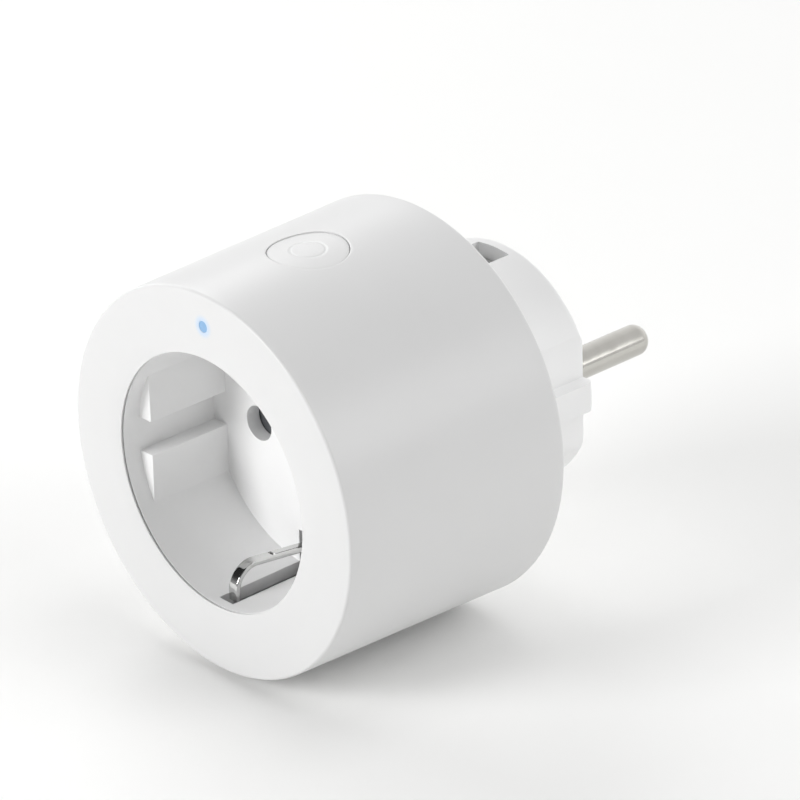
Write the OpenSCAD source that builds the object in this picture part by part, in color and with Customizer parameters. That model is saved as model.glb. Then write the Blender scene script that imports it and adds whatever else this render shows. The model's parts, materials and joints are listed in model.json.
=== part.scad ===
// Round Schuko smart plug: a switched through-socket for a CEE 7 wall outlet.
// Frame: the plug axis is Y and +Y points into the wall. +Z is up.
// The origin is the centre of the boss's end face, where the two pins come out.

/* [Body] */
// Width of the flat front ring, from the well to the outer edge
ring_w = 10.15; // [10:0.05:14]
// Length of the round body, from the front face to the face that rests on the wall plate
body_len = 40.5; // [40:0.5:60]
// How much the body's radius grows from front to back
draft = 1; // [0:0.1:2]
// Thickness of the outer shell's side wall
shell_t = 2; // [1.6:0.1:2.2]
// Thickness of the outer shell's front ring
front_t = 2; // [1.6:0.1:3]
// Radius of the rounded front edge
front_edge_r = 0.45; // [0.2:0.05:1]
// Radius of the rounded rear edge
rear_edge_r = 0.8; // [0.3:0.1:1.2]
// Thickness of the rear housing's disc
rear_t = 2; // [1.6:0.1:3]

/* [Socket well] */
// Radius of the round well that takes a plug
well_r = 19.65; // [19.4:0.05:24]
// Depth of the well
well_depth = 17.5; // [17:0.1:19]
// Wall thickness of the well's cup
cup_t = 2; // [1.6:0.1:2.4]
// Thickness of the well's floor
floor_t = 2.4; // [2:0.1:3]
// Thickness of the shell's lip at the hole's edge
lip_edge_t = 0.25; // [0.2:0.05:0.5]
// Thickness of the shell's lip where it meets the cup's outer wall
lip_t = 0.9; // [0.6:0.1:1.2]
// Gap between the shell's lip and the cup
cup_gap = 0.15; // [0.1:0.05:0.3]
// How much wider than the well the hole in the shell's ring is, on the radius
rim_step = 0.05; // [0:0.05:0.3]
// Distance between the two flat guide faces at the sides
guide_span = 33.5; // [32:0.1:36]
// How far the guide blocks start behind the front face
guide_recess = 3.25; // [2:0.05:5]
// Width of the channel between two guide blocks
channel_w = 5.4; // [5:0.1:6]

/* [Pins] */
// Distance between the two pins
pin_spacing = 19; // [18:0.1:23]
// Radius of a pin
pin_r = 2.4; // [2:0.05:2.9]
// Length of a pin in front of the boss
pin_len = 19; // [15:0.5:23]
// How much thicker a pin's root is, inside the boss's end wall
pin_root_step = 0.25; // [0.1:0.05:0.5]
// Radial clearance of the pin holes in the well's floor
pin_hole_gap = 0.3; // [0.2:0.05:0.4]

/* [Boss] */
// Radius of the boss that enters the wall outlet
boss_r = 18.75; // [18.5:0.05:19]
// Length of the boss
boss_len = 17.5; // [17:0.5:22]
// Wall thickness of the boss
boss_t = 2.3; // [2:0.1:2.5]
// Thickness of the boss's end wall
boss_end_t = 3; // [2.5:0.1:3.5]
// Clearance between the boss's flats and the guide faces of a wall outlet
guide_gap = 0.45; // [0.3:0.05:0.6]
// Radius of the rounded edge at the boss's end
boss_edge_r = 1; // [0.3:0.1:1.5]

/* [Earth contacts] */
// Free distance between the two sprung clips in the well
clip_span = 29.7; // [28:0.1:31]
// Width of a sprung clip
clip_w = 1.8; // [1.2:0.1:2.2]
// Sheet thickness of the earth parts
earth_t = 0.8; // [0.6:0.1:1]
// Where a clip's front leg starts behind the front face
clip_start = 3.25; // [3:0.05:4]
// Outer radius of a clip's front bend
clip_bend_r = 3.9; // [3:0.1:5]
// Lean of a clip's straight run away from the well's axis, in degrees
clip_lean = 7.4; // [4:0.2:9]
// Width of the slot that a clip moves in
slot_w = 3; // [2.6:0.1:3.4]
// Where the slot starts behind the front face
slot_start = 2.05; // [1.6:0.05:2.6]
// Distance between the outer faces of the two plug-side earth contacts
earth_span = 33.2; // [32:0.1:34]
// Width of a plug-side earth contact
earth_w = 6; // [5:0.2:7]

/* [Button and light] */
// Radius of the round push button
button_r = 5.85; // [5:0.05:7.2]
// Distance from the front face to the button's centre
button_back = 19.9; // [18:0.1:24]
// Gap round the button
button_gap = 0.15; // [0.1:0.05:0.25]
// Travel of the button
button_travel = 0.5; // [0.3:0.05:0.6]
// Radius of the status light's window
light_r = 0.85; // [0.6:0.05:1.2]

/* [Boards] */
// Thickness of the round power board
power_board_t = 1.6; // [1.2:0.1:2]
// Width of the control board under the button
control_board_w = 22; // [18:0.5:24]
// Thickness of the control board
control_board_t = 1; // [0.8:0.1:1.2]

/* [Screws] */
// Outer radius of a screw post
post_r = 2.75; // [2.4:0.05:2.8]
// Radius of a housing screw's thread
screw_r = 1.25; // [1:0.05:1.4]
// Length of a housing screw under its head
screw_len = 10; // [8:1:14]

/* [Hidden] */

$fn = 96;
eps = 0.01;

// Stations along Y
y_seat = -boss_len;
y_front = y_seat - body_len;
y_lip = y_front + lip_t;
y_cup = y_lip + cup_gap;
y_floor = y_front + well_depth;
y_floor_back = y_floor + floor_t;
y_rear_in = y_seat - rear_t;
y_board_back = y_rear_in;
y_board = y_board_back - power_board_t;
y_boss_in = -boss_end_t;
y_button = y_front + button_back;

// Radii
front_r = well_r + ring_w;
rear_r = front_r + draft;
shell_ir = front_r - shell_t;
rear_ir = rear_r - shell_t;
cup_r = well_r + cup_t;
hole_r = pin_r + pin_hole_gap;
pin_x = pin_spacing / 2;
post_bite = 0.2;
post_ring = shell_ir - post_r + post_bite;
power_board_r = post_ring - post_r - 0.6;
rear_disc_r = rear_ir - 0.12;

// Body radius at a station y
function body_r(y) = front_r + draft * (y - y_front) / body_len;

// Shutter stack behind the well's floor
shutter_gap = 0.1;
shutter_t = 1.4;
y_shutter = y_floor_back + shutter_gap;
y_shutter_back = y_shutter + shutter_t;
spring_space = 1.2;
y_retainer = y_shutter_back + spring_space;
retainer_t = 1;
y_retainer_back = y_retainer + retainer_t;
pad_r = hole_r + 0.35;
shutter_reach = pin_x + pad_r;
hub_r = 3.4;
hub_pin_r = 1.5;
hub_gap = 0.05;
retainer_r = shutter_reach + 0.7;
spring_wire_r = 0.22;
spring_r = 2.5;
spring_up = 0.35;
spring_pitch = 0.46;
spring_leg = 5;
retainer_screw_ring = pin_x + 2.4;
retainer_screw_angles = [115, 295];
retainer_screw_r = 0.8;
retainer_post_r = 1.7;

// Earth parts
y_earth_bar = y_retainer_back + 0.2;
y_earth_bar_back = y_earth_bar + earth_t;
earth_z = earth_span / 2;
earth_bar_z = earth_z + 1;
clip_z = clip_span / 2;
pad_gap = 0.22;
y_clip_pad = y_earth_bar - pad_gap - earth_t;
clip_pad_w = 5;
clip_pad_h = 3.2;
notch_z = clip_z - 0.4;
leg_end_z = well_r + 0.45;
groove_w = earth_w + 0.6;

// Live contacts and busbars
tulip_r = pin_r + 0.05;
tulip_t = 0.6;
bus_t = 0.8;
bus_w = 4;
bus_x = pin_x + tulip_r + tulip_t + 0.15;
pin_tail_r = 1.9;
pin_tail_len = 2.4;
boss_flat_x = guide_span / 2 - guide_gap;
boss_rib_w = channel_w - 0.8;
boss_cavity_x = boss_flat_x - boss_t;
boss_cavity_z = earth_z - earth_t - 1.5;

// Control board and what stands on it
z_control = cup_r + 0.85;
z_control_top = z_control + control_board_t;
board_gap = 0.1;
y_control_front = y_front + front_t + 0.6;
header_l = 2.5;
header_h = 2.2;
header_pitch = 2;
header_pin_r = 0.3;
z_header_pins = z_control - header_h + 0.6;
y_control_back = y_board - 0.9;
switch_w = 6;
switch_h = 3.1;
z_switch_top = z_control_top + switch_h;
plunger_r = 1.7;
plunger_gap = 0.08;
plunger_up = button_travel + 0.3;
z_plunger = z_switch_top + plunger_up;
light_z = (well_r + front_r) / 2;
light_sink = 0.05;
led_l = 1.2;
led_w = 1.6;
shield_w = 13;
shield_h = 2;
y_led = y_front + front_t + 1;

// Button
button_skin = 1.4;
skirt_t = 1;
flange_out = 0.7;
flange_t = 0.7;
flange_r = button_r + flange_out;
z_button_in = sqrt(pow(body_r(y_button) - shell_t, 2) - pow(flange_r, 2));
z_flange = z_button_in - 0.15;

// Power board components: sizes, and places as [x, z] on the board
relay_size = [10.2, 15.3, 18.4];
bulk_cap_r = 4;
bulk_cap_l = 11.5;
bulk_cap_at = [-6, 11];
output_cap_r = 3.15;
output_cap_l = 11;
output_cap_at = [7, 11.5];
cap_groove_y = y_board - 1.5;
cap_groove_r = 0.45;
varistor_r = 5;
varistor_t = 4;
varistor_at = [-8.6, -11];
varistor_lead_r = 0.35;
varistor_pitch = 5;
fuse_r = 1.75;
fuse_l = 8;
fuse_at = [-0.6, -15.6];
inductor_r = 3.8;
inductor_l = 8.5;
inductor_at = [8.2, -10.6];
inductor_rim_t = 1.2;
inductor_neck_r = 2.9;
rectifier_size = [4.8, 2.5, 4.5];
rectifier_z = 6.25;
chip_size = [4, 1.6, 4.8];
chip_z = -2.4;

// Housing screws
screw_head_r = 2.3;
screw_head_t = 1.1;
screw_sink = 1.2;
screw_angles = [45, 135, 225, 315];

// A cylinder along Y between two stations
module along_y(r, y0, y1, x = 0, z = 0) {
  translate([x, y0, z])
    rotate([-90, 0, 0])
      cylinder(r = r, h = y1 - y0);
}

// A box from its low corner to its high corner
module span(low, high) {
  translate(low)
    cube(high - low);
}

// A profile of (radius, y) points turned about the Y axis
module turned() {
  rotate([-90, 0, 0])
    rotate_extrude()
      children();
}

// A flat outline of (y, z) points given a width along X, centred
module across(width) {
  translate([-width / 2, 0, 0])
    rotate([90, 0, 90])
      linear_extrude(width)
        children();
}

// Children at each angle on a circle about the Y axis
module on_ring(radius, angles) {
  for (a = angles)
    translate([radius * cos(a), 0, radius * sin(a)])
      children();
}

// Children repeated with Z reversed
module both_z() {
  children();
  mirror([0, 0, 1])
    children();
}

// The body's outer form, with both edges rounded
module body_profile() {
  e = front_edge_r;
  q = rear_edge_r;
  polygon([
    [0, y_front], [front_r - e, y_front], [front_r, y_front + e],
    [rear_r, y_seat - q], [rear_r - q, y_seat], [0, y_seat]
  ]);
  translate([front_r - e, y_front + e])
    circle(e, $fn = 48);
  translate([rear_r - q, y_seat - q])
    circle(q, $fn = 48);
}

// The shell's front hole and the space behind its lip, which thins towards the hole
module front_opening() {
  lip_r = well_r + rim_step;
  back_r = cup_r + cup_gap;
  y_edge = y_front + lip_edge_t;
  y_end = y_front + front_t + 1;
  turned()
    polygon([
      [0, y_front - 1], [lip_r, y_front - 1], [lip_r, y_edge],
      [back_r, y_lip], [back_r, y_end], [0, y_end]
    ]);
}

module outer_shell() {
  color("#f4f4f2")
    difference() {
      union() {
        difference() {
          turned() body_profile();
          translate([0, y_front + front_t, 0])
            rotate([-90, 0, 0])
              cylinder(r1 = shell_ir, r2 = rear_ir, h = body_len - front_t);
          along_y(rear_ir, y_seat - eps, y_seat + 1);
        }
        on_ring(post_ring, screw_angles)
          along_y(post_r, y_front + front_t - eps, y_rear_in);
      }
      front_opening();
      translate([0, y_button, 0])
        cylinder(r = button_r + button_gap, h = rear_r + 1);
      along_y(light_r, y_front - 1, y_front + front_t + 1, z = light_z);
      on_ring(post_ring, screw_angles)
        along_y(screw_r, y_rear_in - screw_len - 1, y_rear_in + 1);
    }
}

// One pair of guide blocks, on the +X side
module guide_blocks() {
  both_z()
    intersection() {
      along_y(well_r + eps, y_front + guide_recess, y_floor + eps);
      span([guide_span / 2, y_front, channel_w / 2], [well_r + 1, y_floor + 1, well_r]);
    }
}

module socket_insert() {
  pillar_r = 2;
  pillar_x = guide_span / 2 - 2;
  pillar_z = cup_r / 2;
  color("#ededeb")
    difference() {
      union() {
        turned()
          polygon([
            [0, y_floor], [well_r, y_floor], [well_r, y_front + lip_edge_t + cup_gap],
            [cup_r, y_cup], [cup_r, y_floor_back], [0, y_floor_back]
          ]);
        guide_blocks();
        mirror([1, 0, 0])
          guide_blocks();
        for (x = [-pillar_x, pillar_x], z = [-pillar_z, pillar_z])
          along_y(pillar_r, y_floor_back - eps, y_board, x, z);
        along_y(hub_pin_r, y_floor_back - eps, y_retainer);
        on_ring(retainer_screw_ring, retainer_screw_angles)
          along_y(retainer_post_r, y_floor_back - eps, y_retainer);
      }
      for (x = [-pin_x, pin_x])
        along_y(hole_r, y_floor - 1, y_floor_back + 1, x);
      both_z()
        span(
          [-slot_w / 2, y_front + slot_start, notch_z],
          [slot_w / 2, y_floor_back + 1, cup_r + 1]
        );
      on_ring(retainer_screw_ring, retainer_screw_angles)
        along_y(retainer_screw_r, y_floor_back - 0.6, y_retainer + 1);
    }
}

module boss_outline() {
  intersection() {
    circle(boss_r);
    union() {
      square([boss_flat_x * 2, boss_r * 2], center = true);
      square([boss_r * 2, boss_rib_w], center = true);
    }
  }
}

// The boss's outer form: a turned body with a rounded end, cut to its outline
module boss_body() {
  e = boss_edge_r;
  intersection() {
    turned() {
      polygon([
        [0, y_rear_in], [boss_r, y_rear_in], [boss_r, -e],
        [boss_r - e, 0], [0, 0]
      ]);
      translate([boss_r - e, -e])
        circle(e, $fn = 48);
    }
    translate([0, y_rear_in, 0])
      rotate([-90, 0, 0])
        linear_extrude(-y_rear_in)
          boss_outline();
  }
}

module rear_housing() {
  color("#ededeb")
    difference() {
      union() {
        along_y(rear_disc_r, y_rear_in, y_seat);
        boss_body();
      }
      intersection() {
        along_y(boss_r - boss_t, y_rear_in - 1, y_boss_in);
        span(
          [-boss_cavity_x, y_rear_in - 1, -boss_cavity_z],
          [boss_cavity_x, y_boss_in, boss_cavity_z]
        );
      }
      for (x = [-pin_x, pin_x])
        along_y(pin_r + pin_root_step, y_boss_in - 1, 1, x);
      both_z()
        span([-groove_w / 2, y_rear_in - 1, earth_z - earth_t], [groove_w / 2, y_seat, earth_z + 0.3]);
      both_z()
        span([-groove_w / 2, y_seat, earth_z - earth_t], [groove_w / 2, -2.2, boss_r + 1]);
      on_ring(post_ring, screw_angles) {
        along_y(screw_r + 0.15, y_rear_in - 1, y_seat + 1);
        along_y(screw_head_r + 0.2, y_seat - screw_sink, y_seat + 1);
      }
    }
}

module button_cap() {
  color("#f4f4f2") {
    difference() {
      intersection() {
        translate([0, y_button, 0])
          cylinder(r = button_r, h = rear_r);
        turned() body_profile();
      }
      translate([0, y_button, 0])
        cylinder(r = button_r - skirt_t, h = body_r(y_button) - button_skin);
      translate([0, y_button, 0])
        cylinder(r = button_r + 1, h = z_flange - flange_t);
    }
    translate([0, y_button, z_flange - flange_t])
      difference() {
        cylinder(r = flange_r, h = flange_t);
        translate([0, 0, -1])
          cylinder(r = button_r - skirt_t, h = flange_t + 2);
      }
    translate([0, y_button, z_plunger])
      cylinder(r = plunger_r, h = body_r(y_button) - button_skin - z_plunger + 0.2);
  }
}

module light_pipe() {
  color("#bcd8f2") {
    along_y(light_r, y_front + light_sink, y_front + front_t + eps, z = light_z);
    along_y(light_r + 0.5, y_front + front_t, y_control_front - board_gap, z = light_z);
  }
}

module shutter() {
  color("#55575a")
    difference() {
      union() {
        along_y(hub_r, y_shutter, y_shutter_back);
        for (x = [-pin_x, pin_x])
          along_y(pad_r, y_shutter, y_shutter_back, x);
        span([-pin_x, y_shutter, -1.5], [pin_x, y_shutter_back, 1.5]);
      }
      along_y(hub_pin_r + hub_gap, y_shutter - 1, y_shutter_back + 1);
    }
}

module shutter_spring() {
  color("silver") {
    for (i = [0:1])
      translate([0, y_shutter_back + spring_up + i * spring_pitch, 0])
        rotate([-90, 0, 0])
          rotate_extrude()
            translate([spring_r, 0])
              circle(spring_wire_r + 0.02, $fn = 24);
    translate([spring_r, y_shutter_back + spring_up + spring_pitch, 0])
      cylinder(r = spring_wire_r, h = spring_leg, $fn = 24);
  }
}

module shutter_retainer() {
  color("#dcdcda")
    difference() {
      along_y(retainer_r, y_retainer, y_retainer_back);
      for (x = [-pin_x, pin_x])
        along_y(hole_r + 0.2, y_retainer - 1, y_retainer_back + 1, x);
      on_ring(retainer_screw_ring, retainer_screw_angles)
        along_y(retainer_screw_r + 0.1, y_retainer - 1, y_retainer_back + 1);
    }
}

module retainer_screws() {
  color("silver")
    on_ring(retainer_screw_ring, retainer_screw_angles)
      difference() {
        union() {
          along_y(1.4, y_retainer_back, y_retainer_back + 0.8);
          along_y(retainer_screw_r, y_floor_back, y_retainer_back + eps);
        }
        span([-1.2, y_retainer_back + 0.4, -0.2], [1.2, y_retainer_back + 1, 0.2]);
        span([-0.2, y_retainer_back + 0.4, -1.2], [0.2, y_retainer_back + 1, 1.2]);
      }
}

// A slit sleeve that grips a plug's pin, with a foot on the power board
module socket_contact(side, tab_out) {
  x = side * pin_x;
  r_out = tulip_r + tulip_t;
  color("#c9a86a")
    difference() {
      union() {
        along_y(r_out, y_retainer_back + 0.4, y_board, x);
        if (tab_out)
          span([min(side * (pin_x + 1), side * bus_x), y_board - 3, -bus_w / 2],
               [max(side * (pin_x + 1), side * bus_x), y_board, bus_w / 2]);
      }
      along_y(tulip_r, y_retainer_back - 1, y_board + 1, x);
      span([x - 0.4, y_retainer_back - 1, -r_out - 1], [x + 0.4, y_board - 4, r_out + 1]);
    }
}

module line_socket_contact() {
  socket_contact(1, false);
}

module neutral_socket_contact() {
  socket_contact(-1, true);
}

// A solid pin with a domed tip, and a tail inside the boss
module mains_pin(side) {
  tip = pin_r * 0.8;
  color("silver")
    translate([side * pin_x, 0, 0])
      turned() {
        polygon([
          [0, y_boss_in - pin_tail_len], [pin_tail_r, y_boss_in - pin_tail_len],
          [pin_tail_r, y_boss_in], [pin_r + pin_root_step, y_boss_in],
          [pin_r + pin_root_step, 0], [pin_r, 0], [pin_r, pin_len - tip], [0, pin_len - tip]
        ]);
        intersection() {
          translate([pin_r - tip, pin_len - tip])
            circle(tip, $fn = 48);
          translate([0, pin_len - tip - eps])
            square([pin_r, pin_r]);
        }
        translate([0, pin_len - tip - eps])
          square([pin_r - tip, tip + eps]);
      }
}

module line_pin() {
  mains_pin(1);
}

module neutral_pin() {
  mains_pin(-1);
}

// A strip from a pin's tail to the power board; its eye is riveted over the tail
module busbar(side, y_end) {
  y_eye = y_boss_in - 1.2;
  far_x = bus_x + bus_t;
  color("#b87333")
    difference() {
      union() {
        along_y(pin_tail_r + 1.6, y_eye, y_eye + bus_t, side * pin_x);
        span([min(side * pin_x, side * far_x), y_eye, -bus_w / 2],
             [max(side * pin_x, side * far_x), y_eye + bus_t, bus_w / 2]);
        span([min(side * bus_x, side * far_x), y_end, -bus_w / 2],
             [max(side * bus_x, side * far_x), y_eye + bus_t, bus_w / 2]);
      }
      along_y(pin_tail_r, y_eye - 1, y_eye + bus_t + 1, side * pin_x);
    }
}

module line_busbar() {
  busbar(1, y_board - 0.6);
}

module neutral_busbar() {
  busbar(-1, y_board - 3);
}

module earth_bar() {
  color("#d9d9d6")
    span([-earth_w / 2, y_earth_bar, -earth_bar_z], [earth_w / 2, y_earth_bar_back, earth_bar_z]);
}

// The upper clip: a leg, a bend, a leaning run and a pad against the earth bar
module earth_clip() {
  bend_y = y_front + clip_start + clip_bend_r;
  bend_z = clip_z + clip_bend_r;
  run_l = (y_clip_pad + earth_t / 2 - bend_y) / cos(clip_lean);
  color("#d9d9d6") {
    across(clip_w) {
      translate([y_front + clip_start, bend_z])
        square([earth_t, leg_end_z - bend_z]);
      translate([bend_y, bend_z])
        intersection() {
          difference() {
            circle(clip_bend_r);
            circle(clip_bend_r - earth_t);
          }
          polygon([
            [0, 0], [-2 * clip_bend_r, 0], [-2 * clip_bend_r, -2 * clip_bend_r],
            [2 * clip_bend_r * sin(clip_lean), -2 * clip_bend_r * cos(clip_lean)]
          ]);
        }
      translate([bend_y, bend_z])
        rotate(clip_lean)
          translate([-eps, -clip_bend_r])
            square([run_l, earth_t]);
    }
    clip_pad_z = bend_z - clip_bend_r * cos(clip_lean) + run_l * sin(clip_lean);
    span(
      [-clip_pad_w / 2, y_clip_pad, clip_pad_z - 1],
      [clip_pad_w / 2, y_clip_pad + earth_t, clip_pad_z - 1 + clip_pad_h]
    );
  }
}

module upper_earth_clip() {
  earth_clip();
}

module lower_earth_clip() {
  mirror([0, 0, 1])
    earth_clip();
}

module plug_earth() {
  color("#d9d9d6")
    span([-earth_w / 2, y_earth_bar_back, earth_z - earth_t], [earth_w / 2, -2.6, earth_z]);
}

module upper_plug_earth() {
  plug_earth();
}

module lower_plug_earth() {
  mirror([0, 0, 1])
    plug_earth();
}

module power_board() {
  color("#2f6b3c")
    difference() {
      along_y(power_board_r, y_board, y_board_back);
      both_z()
        span(
          [-earth_w / 2 - 0.3, y_board - 1, earth_z - earth_t - 0.2],
          [earth_w / 2 + 0.3, y_board_back + 1, earth_z + 0.2]
        );
      for (s = [-1, 1])
        span([min(s * (bus_x - 0.1), s * (bus_x + bus_t + 0.1)), y_board - 1, -bus_w / 2 - 0.1],
             [max(s * (bus_x - 0.1), s * (bus_x + bus_t + 0.1)), y_board_back + 1, bus_w / 2 + 0.1]);
      header_pins(y_board - 1, y_board_back + 1);
    }
}

module relay() {
  color("#1d1f22")
    translate([-relay_size.x / 2, y_board_back, -relay_size.z / 2])
      cube(relay_size);
}

// A round can standing on the power board, with a rim groove near its foot
module round_can(radius, length, at) {
  difference() {
    along_y(radius, y_board - length, y_board, at.x, at.y);
    translate([at.x, cap_groove_y, at.y])
      rotate([-90, 0, 0])
        rotate_extrude()
          translate([radius + 0.1, 0])
            circle(cap_groove_r, $fn = 24);
  }
}

module bulk_capacitor() {
  color("#23262b")
    round_can(bulk_cap_r, bulk_cap_l, bulk_cap_at);
}

module output_capacitor() {
  color("#23262b")
    round_can(output_cap_r, output_cap_l, output_cap_at);
}

module varistor() {
  color("#2b63a8")
    translate([varistor_at.x, y_board - varistor_r - 0.4, varistor_at.y])
      rotate([0, 90, 0])
        cylinder(r = varistor_r, h = varistor_t);
  color("silver")
    for (s = [-1, 1])
      along_y(
        varistor_lead_r, y_board - varistor_r / 2, y_board,
        varistor_at.x + varistor_t / 2, varistor_at.y + s * varistor_pitch / 2
      );
}

module fuse_resistor() {
  color("#8a5a3b")
    translate([fuse_at.x, y_board - fuse_r, fuse_at.y])
      cylinder(r = fuse_r, h = fuse_l);
}

module power_inductor() {
  rim = inductor_rim_t;
  y_top = y_board - inductor_l;
  color("#3a3a3c") {
    along_y(inductor_r, y_board - rim, y_board, inductor_at.x, inductor_at.y);
    along_y(inductor_neck_r, y_top + rim - eps, y_board - rim + eps, inductor_at.x, inductor_at.y);
    along_y(inductor_r, y_top, y_top + rim, inductor_at.x, inductor_at.y);
  }
}

module bridge_rectifier() {
  color("#1d1f22")
    translate([-rectifier_size.x / 2, y_board - rectifier_size.y, rectifier_z - rectifier_size.z / 2])
      cube(rectifier_size);
}

module converter_chip() {
  color("#1d1f22")
    translate([-chip_size.x / 2, y_board - chip_size.y, chip_z - chip_size.z / 2])
      cube(chip_size);
}

module control_board() {
  w = control_board_w / 2;
  color("#2f6b3c")
    span([-w, y_control_front, z_control], [w, y_control_back, z_control_top]);
}

module radio_shield() {
  color("silver")
    span(
      [-shield_w / 2, y_led + led_l + 1.2, z_control_top],
      [shield_w / 2, y_button - flange_r - 1.2, z_control_top + shield_h]
    );
}

module tact_switch() {
  color("#26282b")
    difference() {
      translate([-switch_w / 2, y_button - switch_w / 2, z_control_top])
        cube([switch_w, switch_w, switch_h]);
      translate([0, y_button, z_switch_top - 1.5])
        cylinder(r = plunger_r + plunger_gap, h = 3);
    }
}

module switch_plunger() {
  color("#e4e4e0")
    translate([0, y_button, z_plunger - 1.6])
      cylinder(r = plunger_r, h = 1.6);
}

module status_led() {
  color("#9fc4ea")
    span(
      [-led_w / 2, y_led, z_control_top],
      [led_w / 2, y_led + led_l, light_z + 0.7]
    );
}

// Five thin pins between two stations
module header_pins(y0, y1) {
  for (i = [-2:2])
    along_y(header_pin_r, y0, y1, i * header_pitch, z_header_pins);
}

// A block of five contacts that joins the control board to the power board
module board_header() {
  color("#1d1f22")
    span(
      [-2.5 * header_pitch, y_control_back - header_l, z_control - header_h],
      [2.5 * header_pitch, y_control_back, z_control]
    );
  color("#c9a86a")
    header_pins(y_control_back - eps, y_board_back);
}

module housing_screws() {
  y_head = y_seat - screw_sink;
  color("silver")
    on_ring(post_ring, screw_angles)
      difference() {
        union() {
          along_y(screw_head_r, y_head, y_head + screw_head_t);
          along_y(screw_r, y_head - screw_len, y_head + eps);
        }
        translate([0, y_head + screw_head_t - 0.7, 0])
          rotate([-90, 0, 0])
            cylinder(r = 1.25, h = 1, $fn = 3);
      }
}

outer_shell();
socket_insert();
rear_housing();
button_cap();
light_pipe();
shutter();
shutter_spring();
shutter_retainer();
retainer_screws();
line_socket_contact();
neutral_socket_contact();
line_pin();
neutral_pin();
line_busbar();
neutral_busbar();
earth_bar();
upper_earth_clip();
lower_earth_clip();
upper_plug_earth();
lower_plug_earth();
power_board();
relay();
bulk_capacitor();
output_capacitor();
varistor();
fuse_resistor();
power_inductor();
bridge_rectifier();
converter_chip();
control_board();
radio_shield();
tact_switch();
switch_plunger();
status_led();
board_header();
housing_screws();
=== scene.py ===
# %% [markdown]
# # A round smart plug from formulas
# A smart plug is nearly all one white moulding. Its looks come from three things: the exact curve
# of the shell, the small rounds on its edges, and soft light that shades them.
#
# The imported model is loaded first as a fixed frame. The pieces that show are then built again as
# smooth surfaces inside the same outline, and every piece gets a finish that starts from the real
# material.

import json

import bmesh
import bpy
import numpy as np
from mathutils import Matrix, Vector


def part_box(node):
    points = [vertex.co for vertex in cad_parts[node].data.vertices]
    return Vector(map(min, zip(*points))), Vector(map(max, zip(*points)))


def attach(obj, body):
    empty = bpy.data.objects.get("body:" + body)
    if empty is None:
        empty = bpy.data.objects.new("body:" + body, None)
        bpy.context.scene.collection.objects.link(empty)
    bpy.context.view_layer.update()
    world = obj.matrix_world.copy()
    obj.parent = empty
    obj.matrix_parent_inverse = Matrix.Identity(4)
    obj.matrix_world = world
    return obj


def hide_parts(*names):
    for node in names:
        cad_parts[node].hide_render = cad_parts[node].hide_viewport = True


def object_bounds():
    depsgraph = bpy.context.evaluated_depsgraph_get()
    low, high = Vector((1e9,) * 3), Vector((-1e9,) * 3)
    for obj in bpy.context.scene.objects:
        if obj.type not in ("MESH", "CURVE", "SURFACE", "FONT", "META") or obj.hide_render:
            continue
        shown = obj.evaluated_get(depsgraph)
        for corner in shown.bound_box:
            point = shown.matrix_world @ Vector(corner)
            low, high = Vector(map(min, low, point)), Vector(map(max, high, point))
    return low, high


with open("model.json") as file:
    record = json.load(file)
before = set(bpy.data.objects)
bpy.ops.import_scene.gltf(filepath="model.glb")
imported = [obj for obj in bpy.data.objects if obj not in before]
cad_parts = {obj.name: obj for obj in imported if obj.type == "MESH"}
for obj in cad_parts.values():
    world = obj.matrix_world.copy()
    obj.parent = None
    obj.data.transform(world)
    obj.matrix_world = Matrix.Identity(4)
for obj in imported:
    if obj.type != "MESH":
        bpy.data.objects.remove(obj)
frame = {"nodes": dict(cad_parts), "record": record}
cad_low, cad_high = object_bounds()
nodes = frame["nodes"]
MM = 0.001

# %% [markdown]
# Sizes are in millimetres. The shell's box gives the front face, the rear rim and the rear radius, and
# the boxes of the button, the light and the upper clip give their stations. The draft, the wall and the
# well's radius are given as numbers.

# %% Stations and radii, from the frame and given numbers


def box_mm(node):
    """The low and high corner of a CAD node, in millimetres."""
    low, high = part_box(node)
    return np.array(low) / MM, np.array(high) / MM


shell_low, shell_high = box_mm("outer_shell")
button_low, button_high = box_mm("button_cap")
light_low, light_high = box_mm("light_pipe")
clip_low, clip_high = box_mm("upper_earth_clip")

Y_FRONT, Y_SEAT = shell_low[1], shell_high[1]
REAR_R = shell_high[0]
DRAFT = 1.0
FRONT_R = REAR_R - DRAFT
SHELL_T = 2.0
WELL_R = 19.65
print("front", Y_FRONT.round(2), "seat", Y_SEAT.round(2), "radii", FRONT_R.round(2), REAR_R.round(2))

# %% [markdown]
# ## Finishes
# Colours are given as sRGB codes and turned to the linear values that the shaders use. One small
# function adds every shader node, and one recipe makes most finishes: a slow noise shifts the
# colour and the gloss a little, and a fine noise at the scale of the real grain raises a bump.

# %% Colour and node helpers


def srgb(code):
    """Linear RGBA of an sRGB hex code such as "#c8c6c0"."""
    value = np.array([int(code[i : i + 2], 16) for i in (1, 3, 5)]) / 255
    linear = np.where(value <= 0.04045, value / 12.92, ((value + 0.055) / 1.055) ** 2.4)
    return (*linear.tolist(), 1.0)


def add(tree, kind, sockets=(), **settings):
    """One shader node. settings are its properties; sockets its inputs, constants or outputs."""
    node = tree.nodes.new(kind)
    for key, value in settings.items():
        setattr(node, key, value)
    for key, value in dict(sockets).items():
        if isinstance(value, bpy.types.NodeSocket):
            tree.links.new(value, node.inputs[key])
        else:
            node.inputs[key].default_value = value
    return node


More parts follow.
